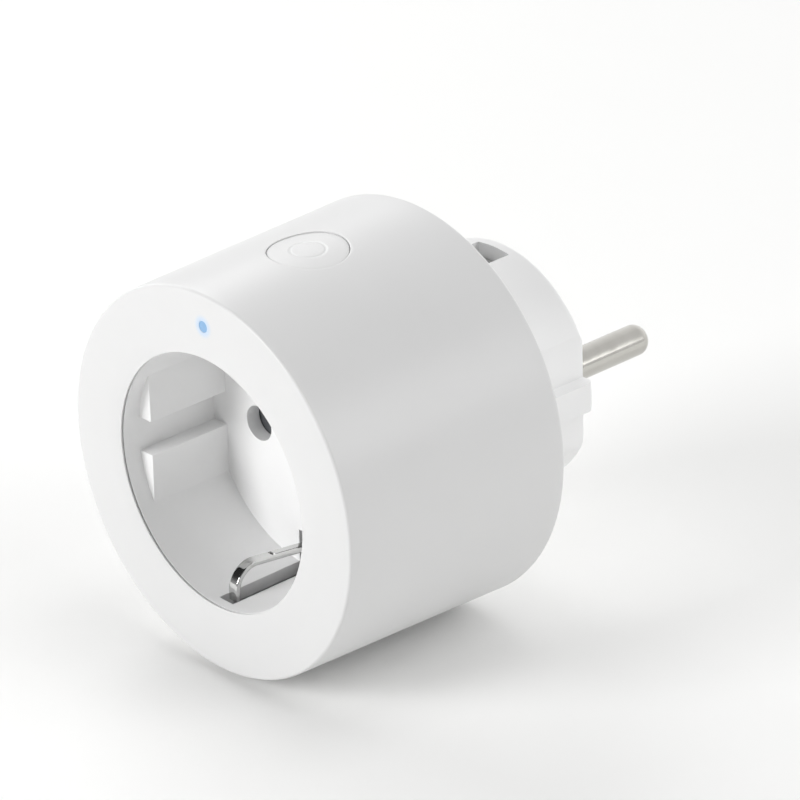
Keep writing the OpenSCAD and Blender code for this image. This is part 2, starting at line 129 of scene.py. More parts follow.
def finish(
    name, dark, light, rough, patch_mm, grain_mm, bump_um, metal=0.0, stretch=(1, 1, 1), **extra
):
    """A procedural surface in object coordinates.

    colour = dark to light and gloss = rough[0] to rough[1] by a noise of patch_mm;
    height = a noise of grain_mm, bump_um micrometres deep. stretch scales the three axes.
    """
    material = bpy.data.materials.new(name)
    material.use_nodes = True
    tree = material.node_tree
    surface = tree.nodes["Principled BSDF"]
    place = add(tree, "ShaderNodeTexCoord").outputs["Object"]
    place = add(tree, "ShaderNodeMapping", {"Vector": place, "Scale": stretch}).outputs["Vector"]
    patch_scale, grain_scale = 1 / (patch_mm * MM), 1 / (grain_mm * MM)
    slow = add(
        tree, "ShaderNodeTexNoise", {"Vector": place, "Scale": patch_scale, "Detail": 3.0}
    )
    fine = add(
        tree, "ShaderNodeTexNoise", {"Vector": place, "Scale": grain_scale, "Detail": 2.0}
    )
    tint = add(
        tree,
        "ShaderNodeMix",
        {"Factor": slow.outputs["Fac"], 6: srgb(dark), 7: srgb(light)},
        data_type="RGBA",
    )
    gloss = add(
        tree,
        "ShaderNodeMapRange",
        {
            "Value": slow.outputs["Fac"],
            "From Min": 0.3,
            "From Max": 0.7,
            "To Min": rough[0],
            "To Max": rough[1],
        },
    )
    bump = add(
        tree,
        "ShaderNodeBump",
        {"Height": fine.outputs["Fac"], "Strength": 1.0, "Distance": bump_um * 1e-6},
    )
    tree.links.new(tint.outputs[2], surface.inputs["Base Color"])
    tree.links.new(gloss.outputs["Result"], surface.inputs["Roughness"])
    tree.links.new(bump.outputs["Normal"], surface.inputs["Normal"])
    surface.inputs["Metallic"].default_value = metal
    for key, value in extra.items():
        surface.inputs[key.replace("_", " ").title()].default_value = value
    return material


# %% The finishes by material slot
FINISHES = {
    # White ABS and PC blend, moulded in a polished tool: an even satin with a very fine grain
    "shell_plastic": finish("moulded_white_shell", "#dadada", "#dddddd", (0.30, 0.36), 12, 0.12, 0.5),
    # The same blend from a lightly blasted tool; its white is painted lighter than the shell's, which
    # brightens the shaded well
    "insert_plastic": finish("moulded_white_insert_painted_light", "#eeeeee", "#f1f1f1", (0.36, 0.44), 8, 0.15, 0.9),
    # Cream-white polyamide, moulded dull
    "inner_plastic": finish("moulded_polyamide", "#dcdbd6", "#e4e3de", (0.48, 0.58), 5, 0.12, 2),
    # Dark grey acetal for the shutter, low friction, slightly waxy; its dark grey is partly painted
    # shade, which makes the pin holes read dark
    "grey_plastic": finish("dark_acetal_and_hole_shade", "#4d4f52", "#5a5c60", (0.38, 0.46), 4, 0.1, 1),
    # Black flame-retardant PBT, moulded with a fine spark texture
    "black_plastic": finish("moulded_pbt", "#1a1b1d", "#232528", (0.45, 0.6), 3, 0.08, 3),
    # Clear acrylic window with a diffuser behind it; its blue is painted glow of the lit light
    "light_window": finish("acrylic_window_painted_glow", "#7fa8d0", "#8ab2da", (0.15, 0.2), 0.6, 0.1, 0.2),
    # Clear epoxy lens of the surface-mounted diode; its blue is painted glow of the lit diode
    "led_lens": finish("epoxy_lens_painted_glow", "#8db2da", "#a5c6ea", (0.1, 0.16), 0.4, 0.1, 0.2),
    # Hard-drawn stainless spring wire, with fine drawing marks
    "spring_steel": finish("drawn_wire", "#b4b3af", "#c6c5c1", (0.22, 0.3), 1.5, 0.05, 0.5, 1.0),
    # Zinc-plated, passivated steel screws
    "screw_steel": finish("zinc_plating", "#a9abad", "#c3c6c8", (0.25, 0.36), 1.2, 0.06, 0.8, 1.0),
    # Stamped phosphor bronze
    "contact_bronze": finish("stamped_bronze", "#b58a52", "#c79f66", (0.25, 0.35), 2.5, 0.06, 0.8, 1.0),
    # Stamped copper strip, lightly oxidised
    "copper_strip": finish("stamped_copper", "#a9694a", "#c58463", (0.28, 0.42), 2.5, 0.06, 0.8, 1.0),
    # Turned brass pins with bright nickel plating
    "nickel_pin": finish("nickel_plated_pin", "#c3c1bb", "#d0cec9", (0.12, 0.18), 2, 0.05, 0.3, 1.0),
    # Cold-rolled steel strip with bright nickel plating: rolling marks along its length
    "nickel_sheet": finish(
        "nickel_plated_strip", "#c6c6c5", "#d4d4d3", (0.08, 0.13), 2, 0.06, 0.3, 1.0, (1, 0.15, 1)
    ),
    # Tinned steel shield
    "tinned_can": finish("tinned_shield", "#b9bab9", "#cccdcc", (0.25, 0.38), 2, 0.08, 1, 1.0),
    # Glass-epoxy board under green solder mask
    "circuit_board": finish("solder_mask", "#17512c", "#1f6035", (0.28, 0.36), 1.6, 0.2, 6),
    # PVC shrink sleeve over an aluminium can
    "capacitor_sleeve": finish("shrink_sleeve", "#1b1f26", "#252a33", (0.22, 0.3), 3, 0.3, 3),
    # Epoxy-dipped disc
    "varistor_coat": finish("dipped_epoxy", "#24528f", "#2e62a6", (0.25, 0.35), 1.5, 0.3, 6),
    # Cement coating on a wire-wound resistor
    "resistor_coat": finish("cement_coat", "#7c5a44", "#8f6a50", (0.6, 0.75), 0.8, 0.08, 8),
    # Sintered ferrite, ground on its ends
    "ferrite": finish("sintered_ferrite", "#2c2c2e", "#3a3a3d", (0.5, 0.65), 0.8, 0.06, 5),
}
print("finishes:", len(FINISHES))

# %% [markdown]
# The light shines a little way into the white plastic round its window. This halo is a blue tint
# that fades with distance from the window's centre, and falls to nothing within about 2 mm.

# %% Glow round the light
GLOW_INNER, GLOW_OUTER, GLOW_SHARE = 0.8 * MM, 2.1 * MM, 0.5
light_centre = (light_low + light_high) / 2 * MM
shell_tree = FINISHES["shell_plastic"].node_tree
surface = shell_tree.nodes["Principled BSDF"]
base = surface.inputs["Base Color"].links[0].from_socket
place = add(shell_tree, "ShaderNodeTexCoord").outputs["Object"]
reach = add(
    shell_tree,
    "ShaderNodeVectorMath",
    {0: place, 1: (light_centre[0], Y_FRONT * MM, light_centre[2])},
    operation="DISTANCE",
)
glow = add(
    shell_tree,
    "ShaderNodeMapRange",
    {
        "Value": reach.outputs["Value"],
        "From Min": GLOW_INNER,
        "From Max": GLOW_OUTER,
        "To Min": GLOW_SHARE,
        "To Max": 0.0,
    },
    interpolation_type="SMOOTHERSTEP",
)
tinted = add(
    shell_tree,
    "ShaderNodeMix",
    {"Factor": glow.outputs["Result"], 6: base, 7: srgb("#a9cdf2")},
    data_type="RGBA",
)
shell_tree.links.new(tinted.outputs[2], surface.inputs["Base Color"])
print("halo round the light at", (light_centre / MM).round(2))

# %% [markdown]
# ## Building surfaces
# A piece is an array of points and a list of faces. A grid of points closes on itself round the
# axis, so its faces follow from the row and column numbers alone.

# %% Mesh helpers
SLOTS = {s["node"]: s["material_slot"] for s in frame["record"]["subparts"]}


def grid_faces(rows, columns, wrap_rows=False):
    """Quads of a grid that closes round its columns.

    index = row * columns + column
    """
    row, column = np.mgrid[0 : rows if wrap_rows else rows - 1, 0:columns]
    across, down = (column + 1) % columns, (row + 1) % rows
    corners = [(row, column), (row, across), (down, across), (down, column)]
    return np.stack([r * columns + c for r, c in corners], -1).reshape(-1, 4)


def make_piece(name, points, faces, node, body="housing", sharp=35.0):
    """A smooth mesh from points in millimetres, standing for a CAD node and riding on its body."""
    mesh = bpy.data.meshes.new(name)
    mesh.from_pydata((np.asarray(points) * MM).tolist(), [], [list(map(int, f)) for f in faces])
    work = bmesh.new()
    work.from_mesh(mesh)
    bmesh.ops.recalc_face_normals(work, faces=work.faces)
    work.to_mesh(mesh)
    work.free()
    mesh.polygons.foreach_set("use_smooth", [True] * len(mesh.polygons))
    mesh.set_sharp_from_angle(angle=np.radians(sharp))
    mesh.materials.append(FINISHES[SLOTS[node]])
    piece = bpy.data.objects.new(name, mesh)
    bpy.context.scene.collection.objects.link(piece)
    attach(piece, body)
    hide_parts(node)
    print(f"{name}: {len(mesh.vertices)} points, {len(mesh.polygons)} faces")


def corner(centre, radius, start, end, steps=6):
    """Points of an arc from start to end, in degrees, in the profile's (radius, y) plane."""
    t = np.radians(np.linspace(start, end, steps + 1))
    return np.stack([centre[0] + radius * np.cos(t), centre[1] + radius * np.sin(t)], 1)


def side_radius(y):
    """The body's radius at a station y: it grows evenly from the front to the rear."""
    return FRONT_R + DRAFT * (y - Y_FRONT) / (Y_SEAT - Y_FRONT)


# %% [markdown]
# ## The shell
# The shell is one closed profile turned about the Y axis: lip, front ring, rounded edge, drafted
# side, rounded rear edge, and the same way back inside. Two holes break it: the button's bore
# through the side, and the light's hole through the ring. At each hole a window of cells is left
# out, and rings of points lead from the window's border to the hole's circle. Every ring is placed
# on the true surface, so the shading stays smooth up to the hole's edge.

# %% Shell profile
COLUMNS = 360
EDGE_FRONT, EDGE_REAR, LIP_ROUND, LIP_EDGE = 0.45, 0.8, 0.06, 0.25
# The hole in the ring is a little wider than the well; the cup behind it has its own wall and gap
RIM_STEP, CUP_WALL, CUP_GAP, LIP_DEPTH, RING_T = 0.05, 2.0, 0.15, 0.9, 2.0
# Each hole: its radius, the half width of its window in columns, half the window's height in
# millimetres, the round at the hole's edge, and the rows of cells in the window
BORE_R, BORE_WINDOW, BORE_HALF, BORE_EDGE, BORE_CELLS = 6.0, 15, 8.0, 0.1, 16
LIGHT_HOLE_R, LIGHT_WINDOW, LIGHT_HALF, LIGHT_EDGE, LIGHT_CELLS = 0.87, 4, 1.72, 0.05, 8
y_button = (button_low[1] + button_high[1]) / 2
z_light = (light_low[2] + light_high[2]) / 2
lip_r, cup_hole_r = WELL_R + RIM_STEP, WELL_R + CUP_WALL + CUP_GAP
lip_back, ring_back = Y_FRONT + LIP_DEPTH, Y_FRONT + RING_T
inner_front_r, inner_rear_r = FRONT_R - SHELL_T, REAR_R - SHELL_T

side_rows = y_button + np.linspace(-BORE_HALF, BORE_HALF, BORE_CELLS + 1)
ring_rows = z_light + np.linspace(-LIGHT_HALF, LIGHT_HALF, LIGHT_CELLS + 1)
y_side = np.concatenate([np.linspace(Y_FRONT + EDGE_FRONT, side_rows[0], 8)[1:-1], side_rows])
y_side = np.concatenate([y_side, np.linspace(side_rows[-1], Y_SEAT - EDGE_REAR, 8)[1:-1]])
y_inner = np.concatenate([np.linspace(Y_SEAT, side_rows[-1], 5)[1:-1], side_rows[::-1]])
y_inner = np.concatenate([y_inner, [side_rows[0] - 3]])


def inner_radius(y):
    """The radius of the shell's inner wall at a station y."""
    share = (y - ring_back) / (Y_SEAT - ring_back)
    return inner_front_r + (inner_rear_r - inner_front_r) * share


parts = [
    corner((lip_r + LIP_ROUND, Y_FRONT + LIP_ROUND), LIP_ROUND, 180, 270, 3),
    np.stack([ring_rows, np.full_like(ring_rows, Y_FRONT)], 1),
    corner((FRONT_R - EDGE_FRONT, Y_FRONT + EDGE_FRONT), EDGE_FRONT, 270, 360, 8),
    np.stack([side_radius(y_side), y_side], 1),
    corner((REAR_R - EDGE_REAR, Y_SEAT - EDGE_REAR), EDGE_REAR, 0, 90, 8),
    [[inner_rear_r, Y_SEAT]],
    np.stack([inner_radius(y_inner), y_inner], 1),
    [[inner_front_r, ring_back]],
    np.stack([ring_rows[::-1], np.full_like(ring_rows, ring_back)], 1),
    [[cup_hole_r, ring_back], [cup_hole_r, lip_back], [lip_r, Y_FRONT + LIP_EDGE]],
]
starts = np.cumsum([0] + [len(p) for p in parts])
profile = np.concatenate(parts)
theta = np.radians(np.arange(COLUMNS))
shell_points = np.stack(
    [
        profile[:, :1] * np.sin(theta),
        np.repeat(profile[:, 1:], COLUMNS, 1),
        profile[:, :1] * np.cos(theta),
    ],
    -1,
).reshape(-1, 3)
shell_faces = grid_faces(len(profile), COLUMNS, wrap_rows=True)
print("shell profile:", len(profile), "points, turned in", COLUMNS, "steps")

# %% Holes in the shell


def window_border(row, count, half):
    """Grid indices round a window of cells, from row to row + count, half columns to each side."""
    columns = np.arange(-half, half + 1) % COLUMNS
    rows = np.arange(row, row + count + 1)
    sides = [
        rows[0] * COLUMNS + columns[:-1],
        rows[:-1] * COLUMNS + columns[-1],
        rows[-1] * COLUMNS + columns[:0:-1],
        rows[:0:-1] * COLUMNS + columns[0],
    ]
    return np.concatenate(sides)


def window_cells(row, count, half):
    """Which of the shell's cells lie in the window."""
    cell_row, cell_column = np.divmod(np.arange(len(profile) * COLUMNS), COLUMNS)
    offset = (cell_column + COLUMNS // 2) % COLUMNS - COLUMNS // 2
    return (cell_row >= row) & (cell_row < row + count) & (offset >= -half) & (offset < half)


def on_side(u, v):
    """Points of the drafted side above (x, y) = (u, v)."""
    return np.stack([u, v, np.sqrt(side_radius(v) ** 2 - u**2)], -1)


def on_inner_side(u, v):
    """Points of the shell's inner wall above (x, y) = (u, v)."""
    return np.stack([u, v, np.sqrt(inner_radius(v) ** 2 - u**2)], -1)


def on_front(u, v):
    """Points of the front face at (x, z) = (u, v)."""
    return np.stack([u, np.full_like(u, Y_FRONT), v], -1)


def on_ring_back(u, v):
    """Points of the back of the front ring at (x, z) = (u, v)."""
    return np.stack([u, np.full_like(u, ring_back), v], -1)


def hole(outer, inner, axes, centre, radius, depth, edge):
    """Rings from one window's border through a round hole to another's.

    outer and inner are (border, surface); axes picks the two coordinates across the hole.
    A ring at share s lies at (1 - s) * circle + s * border; the edge is a quarter round.
    """
    angle = np.arctan2(*(shell_points[outer[0]][:, axes] - centre)[:, ::-1].T)
    turn = np.stack([np.cos(angle), np.sin(angle)], -1)
    rings = []
    for border, surface, shares in (outer + ([0.6, 0.3, 0.12, 0.0],), inner + ([0.0, 0.3, 0.6],)):
        flat = shell_points[border][:, axes]
        reach = radius + (edge if surface is outer[1] else 0)
        for share in shares:
            place = (1 - share) * (centre + reach * turn) + share * flat
            rings.append(surface(place[:, 0], place[:, 1]))
        if surface is outer[1]:
            for a in np.radians([30, 60, 90]):
                place = centre + (radius + edge * (1 - np.sin(a))) * turn
                sunk = np.array(depth) * edge * (1 - np.cos(a))
                rings.append(surface(place[:, 0], place[:, 1]) + sunk)
    return rings


def strip_faces(ring_indices):
    """Quads between rings of equal length, each given as its points' indices."""
    faces = []
    for a, b in zip(ring_indices[:-1], ring_indices[1:]):
        faces.append(np.stack([a, np.roll(a, -1), np.roll(b, -1), b], 1))
    return np.concatenate(faces)


# The rows where each window starts: the side has six rows before it and the inner wall has three
row_side, row_inner = starts[3] + 6, starts[6] + 3
row_ring, row_ring_back = starts[1], starts[8]
# Each job: window, surfaces, the two axes across the hole, centre, radius, inward direction, edge
jobs = [
    (
        (row_side, row_inner, BORE_CELLS, BORE_WINDOW),
        (on_side, on_inner_side),
        [0, 1],
        (0.0, y_button),
        BORE_R,
        (0, 0, -1),
        BORE_EDGE,
    ),
    (
        (row_ring, row_ring_back, LIGHT_CELLS, LIGHT_WINDOW),
        (on_front, on_ring_back),
        [0, 2],
        (0.0, z_light),
        LIGHT_HOLE_R,
        (0, 1, 0),
        LIGHT_EDGE,
    ),
]
keep = np.ones(len(shell_faces), bool)
extra_faces = []
for (row_out, row_in, count, half), surfaces, axes, centre, radius, depth, edge in jobs:
    keep &= ~window_cells(row_out, count, half) & ~window_cells(row_in, count, half)
    border_out = window_border(row_out, count, half)
    border_in = window_border(row_in, count, half)
    # The inner wall's rows run the other way, so its border is matched to the outer one by place
    gap = shell_points[border_out][:, None, axes] - shell_points[border_in][None, :, axes]
    border_in = border_in[np.argmin((gap**2).sum(-1), 1)]
    outer, inner = (border_out, surfaces[0]), (border_in, surfaces[1])
    rings = hole(outer, inner, axes, np.array(centre), radius, depth, edge)
    size = len(border_out)
    first = len(shell_points)
    shell_points = np.concatenate([shell_points] + rings)
    indices = [border_out] + [first + i * size + np.arange(size) for i in range(len(rings))] + [border_in]
    extra_faces.append(strip_faces(indices))
shell_faces = np.concatenate([shell_faces[keep]] + extra_faces)
print("holes: bore radius", BORE_R, "and light hole radius", LIGHT_HOLE_R)

# %% Screw posts inside the shell


def turned_solid(profile_points, columns, centre):
    """A profile of (radius, y) turned about an axis along Y through centre (x, z); both ends close."""
    t = np.linspace(0, 2 * np.pi, columns, endpoint=False)
    r, y = np.asarray(profile_points, float).T
    x, z = centre[0] + r[:, None] * np.cos(t), centre[1] + r[:, None] * np.sin(t)
    points = np.stack([x, np.repeat(y[:, None], columns, 1), z], -1)
    faces = [list(f) for f in grid_faces(len(r), columns)]
    ends = [list(range(columns)), list(range((len(r) - 1) * columns, len(r) * columns))]
    return points.reshape(-1, 3), faces + ends


POST_R, POST_BITE, SCREW_HOLE_R, SCREW_HOLE_L, REAR_T = 2.75, 0.2, 1.25, 11, 2.0
POST_ANGLES, POST_COLUMNS = np.radians([45, 135, 225, 315]), 40
y_rear_in = Y_SEAT - REAR_T
post_profile = [
    [POST_R, ring_back],
    [POST_R, y_rear_in],
    [SCREW_HOLE_R, y_rear_in],
    [SCREW_HOLE_R, y_rear_in - SCREW_HOLE_L],
]
post_ring = inner_front_r - POST_R + POST_BITE
shell_faces = [list(f) for f in shell_faces]
for angle in POST_ANGLES:
    centre = (post_ring * np.cos(angle), post_ring * np.sin(angle))
    points, faces = turned_solid(post_profile, POST_COLUMNS, centre)
    shell_faces += [[len(shell_points) + i for i in f] for f in faces]
    shell_points = np.concatenate([shell_points, points])
make_piece("shell", shell_points, shell_faces, "outer_shell")

# %% [markdown]
# ## The button
# The button's face follows the shell's drafted curve, so it reads as one form with a thin gap round
# it. It stands a hair below the shell, so the gap shows a shadow on the far side. Its rings are
# circles of growing radius: first the face with a faint engraved ring, then a rounded edge, the
# skirt, the flange that holds it in, and the inside.

# %% Button cap
CAP_R, CAP_FLANGE_R, CAP_INNER_R, CAP_STEM_R, CAP_SUNK = 5.91, 6.55, 4.85, 1.7, 0.16
CAP_SKIN, CAP_FLANGE_T, CAP_FLANGE_GAP, CAP_EDGE, CAP_COLUMNS = 1.4, 0.7, 0.15, 0.12, 128
ICON_R, ICON_HALF, ICON_DEEP = 2.54, 0.13, 0.045
z_flange = float(np.sqrt((side_radius(y_button) - SHELL_T) ** 2 - CAP_FLANGE_R**2)) - CAP_FLANGE_GAP
z_flange_low = z_flange - CAP_FLANGE_T
z_plunger = button_low[2]
icon_rings = ICON_R + ICON_HALF * np.arange(-2, 3)
face_rings = np.concatenate([[0.4, 0.9, 1.4, 1.9, 2.2], icon_rings, [3.0, 3.6, 4.2, 4.8, 5.3]])
face_depth = np.where(np.abs(face_rings - ICON_R) < ICON_HALF * 1.5, -ICON_DEEP, 0.0)
edge_t = np.radians([0, 30, 60, 90])
# Each ring: radius, share of the curved surface in its height, offset from it, fixed height
cap_rings = [(r, 1.0, d, 0.0) for r, d in zip(face_rings, face_depth)]
cap_rings += [
    (CAP_R - CAP_EDGE * (1 - np.sin(a)), 1.0, -CAP_EDGE * (1 - np.cos(a)), 0.0) for a in edge_t
]
cap_rings += [
    (CAP_R, 0.0, 0.0, z_flange),
    (CAP_FLANGE_R, 0.0, 0.0, z_flange),
    (CAP_FLANGE_R, 0.0, 0.0, z_flange_low),
    (CAP_INNER_R, 0.0, 0.0, z_flange_low),
    (CAP_INNER_R, 1.0, -CAP_SKIN, 0.0),
    (CAP_STEM_R, 1.0, -CAP_SKIN, 0.0),
    (CAP_STEM_R, 0.0, 0.0, z_plunger),
]
ring_r, on_face, offset, height = np.array(cap_rings).T[:, :, None]
cap_turn = np.linspace(0, 2 * np.pi, CAP_COLUMNS, endpoint=False)
cap_x, cap_y = ring_r * np.cos(cap_turn), y_button + ring_r * np.sin(cap_turn)
cap_top = np.sqrt(side_radius(cap_y) ** 2 - cap_x**2) - CAP_SUNK
cap_z = on_face * (cap_top + offset) + (1 - on_face) * height
cap_points = np.stack([cap_x, cap_y, cap_z], -1).reshape(-1, 3)
cap_faces = [list(f) for f in grid_faces(len(cap_rings), CAP_COLUMNS)]
cap_faces += [list(range(CAP_COLUMNS)), list(range(len(cap_points) - CAP_COLUMNS, len(cap_points)))]
make_piece("button", cap_points, cap_faces, "button_cap", body="button")

# %% [markdown]
# ## The earth clips
# Each clip is a narrow strip of plated steel. A rounded section is carried along its centre line:
# down the front leg, round the bend, and along the leaning run to the foot on the earth bar. From
# partway along, the strip is folded double, which leaves a small notch and a fine seam on top.

# %% Earth clips
STRIP_W, STRIP_T, STRIP_ROUND = 1.8, 0.8, 0.22
BEND_R, LEAN = 3.9, np.radians(7.4)
SEAM_FROM, SEAM_X, SEAM_HALF, SEAM_DEEP, NOTCH_L = 10.6, 0.38, 0.1, 0.26, 0.6
LEG_STEPS, BEND_STEPS, RUN_STEPS = 7, 24, 24
FOOT_HALF_W, FOOT_H, FOOT_BELOW = 2.5, 3.2, 1.0


def strip_section():
    """The strip's outline of (across, out) points, with rounded corners and a seam row on top."""
    w, t, r = STRIP_W / 2, STRIP_T / 2, STRIP_ROUND
    quarters = ((1, 1, 0), (-1, 1, 90), (-1, -1, 180), (1, -1, 270))
    arcs = [corner((sx * (w - r), sy * (t - r)), r, a, a + 90, 4) for sx, sy, a in quarters]
    seam = [[SEAM_X + k * SEAM_HALF, t] for k in (1.2, 0.5, -0.5, -1.2, -8.0)]
    return np.concatenate([arcs[0], seam, arcs[1], arcs[2], arcs[3]])


def clip_path():
    """Centre line of the upper clip as (y, z), with the outward direction at each point."""
    bend_y, bend_z = clip_low[1] + BEND_R, clip_low[2] + BEND_R
    mid = BEND_R - STRIP_T / 2
    turn = np.radians(np.linspace(180, 270, BEND_STEPS + 1)[:-1])
    turn = np.concatenate([turn, [np.radians(270) + LEAN * k for k in (0, 0.5, 1.0)]])
    bend = np.stack([bend_y + mid * np.cos(turn), bend_z + mid * np.sin(turn)], 1)
    out = np.stack([np.cos(turn), np.sin(turn)], 1)
    leg_z = np.linspace(clip_high[2], bend_z, LEG_STEPS + 1)[:-1]
    leg = np.stack([np.full(LEG_STEPS, bend_y - mid), leg_z], 1)
    ahead = np.array([np.cos(LEAN), np.sin(LEAN)])
    reach = (clip_high[1] - STRIP_T / 2 - bend[-1, 0]) / ahead[0]
    start = (Y_FRONT + SEAM_FROM - bend[-1, 0]) / ahead[0]
    before_seam = [start / 3, start * 0.7, start - 0.02, start + 0.02]
    notch_end = [start + NOTCH_L * 0.97, start + NOTCH_L * 1.03]
    steps = np.concatenate([before_seam, notch_end, np.linspace(start + 2 * NOTCH_L, reach, RUN_STEPS)])
    run = bend[-1] + steps[:, None] * ahead
    path = np.concatenate([leg, bend, run])
    outward = np.concatenate([np.repeat(out[:1], LEG_STEPS, 0), out, np.repeat(out[-1:], len(run), 0)])
    return path, outward


def clip_strip(name, node, body, side):
    """A clip swept along its path; side is +1 for the upper clip and -1 for the lower one."""
    path, outward = clip_path()
    section = strip_section()
    across = np.repeat(section[None, :, 0], len(path), 0)
    height = np.repeat(section[None, :, 1], len(path), 0)
    behind = path[:, 0] - Y_FRONT
    on_run = (behind > SEAM_FROM) & (outward[:, 0] > 0)
    top = section[:, 1] > STRIP_T / 2 - 1e-6
    seam = top & (np.abs(section[:, 0] - SEAM_X) < SEAM_HALF)
    height[np.ix_(on_run, seam)] -= SEAM_DEEP
    notch = top & (section[:, 0] < SEAM_X + SEAM_HALF)
    height[np.ix_(on_run & (behind < SEAM_FROM + NOTCH_L), notch)] = STRIP_T / 2 - SEAM_DEEP
    y = path[:, None, 0] + height * outward[:, None, 0]
    z = path[:, None, 1] + height * outward[:, None, 1]
    points = np.stack([-across * side, y, side * z], -1).reshape(-1, 3)
    count = len(section)
    faces = [list(f) for f in grid_faces(len(path), count)]
    faces += [list(range(count)), list(range(len(points) - count, len(points)))]
    # The foot lies flat against the earth bar
    foot_z = path[-1, 1] - FOOT_BELOW
    foot_y = (clip_high[1] - STRIP_T, clip_high[1])
    foot_x = (-FOOT_HALF_W, FOOT_HALF_W)
    foot = np.array([[x, y, z] for x in foot_x for y in foot_y for z in (foot_z, foot_z + FOOT_H)])
    foot[:, 2] *= side
    box = np.array([[0, 1, 3, 2], [4, 6, 7, 5], [0, 4, 5, 1], [2, 3, 7, 6], [0, 2, 6, 4], [1, 5, 7, 3]])
    faces += (len(points) + box).tolist()
    make_piece(name, np.concatenate([points, foot]), faces, node, body, sharp=40)


clip_strip("upper_clip_strip", "upper_earth_clip", "upper_clip", 1)
clip_strip("lower_clip_strip", "lower_earth_clip", "lower_clip", -1)

# %% [markdown]
# ## Rounded copies
# Mouldings without double curves keep their CAD outline. Each is copied, its seams are merged, its
# flat regions are joined into single faces, and a small bevel breaks the edges as a mould does.
# The long round walls then get normals that point exactly at the axis, which hides their facets.

# %% Rounded copies of plain mouldings


def exact_walls(piece, radii):
    """Applies the bevel, then gives every wall turned about the Y axis its true radial normals."""
    mesh = bpy.data.meshes.new_from_object(piece.evaluated_get(bpy.context.evaluated_depsgraph_get()))
    piece.modifiers.clear()
    piece.data = mesh
    co = np.empty(len(mesh.vertices) * 3)
    mesh.vertices.foreach_get("co", co)
    co = co.reshape(-1, 3) / MM
    reach = np.hypot(co[:, 0], co[:, 2])
    corner_point = np.empty(len(mesh.loops), int)
    mesh.loops.foreach_get("vertex_index", corner_point)
    normals = np.empty(len(mesh.loops) * 3)
    mesh.corner_normals.foreach_get("vector", normals)
    normals = normals.reshape(-1, 3)
    for polygon in mesh.polygons:
        loops = slice(polygon.loop_start, polygon.loop_start + polygon.loop_total)
        points = corner_point[loops]
        on_wall = any(np.all(np.abs(reach[points] - r) < 0.01) for r in radii)
        if abs(polygon.normal.y) < 0.02 and on_wall:
            radial = co[points] * (1, 0, 1) / reach[points, None]
            normals[loops] = radial * np.sign(radial.mean(0) @ np.array(polygon.normal))
    mesh.normals_split_custom_set(normals.tolist())


def rounded_copy(node, width_mm, body="housing"):
    """A merged copy of a CAD node with its edges rounded by a bevel of width_mm."""
    work = bmesh.new()
    work.from_mesh(nodes[node].data)
    bmesh.ops.remove_doubles(work, verts=work.verts, dist=2e-6)
    bmesh.ops.dissolve_limit(work, angle_limit=np.radians(0.4), verts=work.verts, edges=work.edges)
    mesh = bpy.data.meshes.new(node + "_shape")
    work.to_mesh(mesh)
    work.free()
    mesh.materials.clear()
    mesh.materials.append(FINISHES[SLOTS[node]])
    mesh.polygons.foreach_set("use_smooth", [True] * len(mesh.polygons))
    mesh.polygons.foreach_set("material_index", [0] * len(mesh.polygons))
    mesh.set_sharp_from_angle(angle=np.radians(50))
    piece = bpy.data.objects.new(node + "_shape", mesh)
    bpy.context.scene.collection.objects.link(piece)
    bevel = piece.modifiers.new("edges", "BEVEL")
    bevel.width = width_mm * MM
    bevel.segments = 2
    bevel.limit_method = "ANGLE"
    bevel.angle_limit = np.radians(40)
    bevel.use_clamp_overlap = True
    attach(piece, body)
    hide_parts(node)
    return piece


BOSS_R, REAR_DISC_GAP = 18.75, 0.12
insert = rounded_copy("socket_insert", 0.15)
exact_walls(insert, (WELL_R, WELL_R + CUP_WALL))
rear = rounded_copy("rear_housing", 0.2)
exact_walls(rear, (BOSS_R, inner_rear_r - REAR_DISC_GAP))
print("rounded: socket_insert, rear_housing")

# %% Finishes for the nodes that keep their own mesh
for name, node in nodes.items():
    node.data.materials.clear()
    node.data.materials.append(FINISHES[SLOTS[name]])
print("nodes shown as they are:", sum(not n.hide_render for n in nodes.values()))

# %% [markdown]
# ## Camera
# The camera is a long lens about 0.74 m away, 48 degrees to the right of the plug's axis and 26
# degrees above it. A long lens keeps the round rims close to true ellipses. Its three directions
# are worked out first; its place then follows from the front face's centre, which sits left of and
# a little below the middle of the view.

# %% Camera
AZIMUTH, ELEVATION, ROLL = np.radians((48.219, 26.388, -1.600))
DISTANCE, FOCAL_MM = 0.74148, 235.09
SIDE_OFFSET, UP_OFFSET = 0.02696, 0.01192

aside, ahead = np.sin(AZIMUTH) * np.cos(ELEVATION), np.cos(AZIMUTH) * np.cos(ELEVATION)
back = Vector((aside, -ahead, np.sin(ELEVATION)))
level = Vector((np.cos(AZIMUTH), np.sin(AZIMUTH), 0))
right = level * np.cos(ROLL) + back.cross(level) * np.sin(ROLL)
up = back.cross(right)
front_centre = Vector((0, Y_FRONT * MM, 0))

camera_data = bpy.data.cameras.new("camera")
camera_data.lens = FOCAL_MM
camera_data.sensor_width = 36
camera_data.clip_start = 0.01
camera = bpy.data.objects.new("camera", camera_data)
bpy.context.scene.collection.objects.link(camera)
camera.matrix_world = Matrix((right, up, back)).transposed().to_4x4()
camera.location = front_centre + back * DISTANCE + right * SIDE_OFFSET + up * UP_OFFSET
bpy.context.scene.camera = camera
print("camera at", [round(x, 3) for x in camera.location])

# %% [markdown]
# ## Floor and light
# The floor is matt and pale. The strongest softbox is nearly in front of the plug, so the front
# face is the brightest surface and the side falls away into grey. Five weaker ones and the pale
# walls of the room fill the other sides, so the shape reads from every angle.

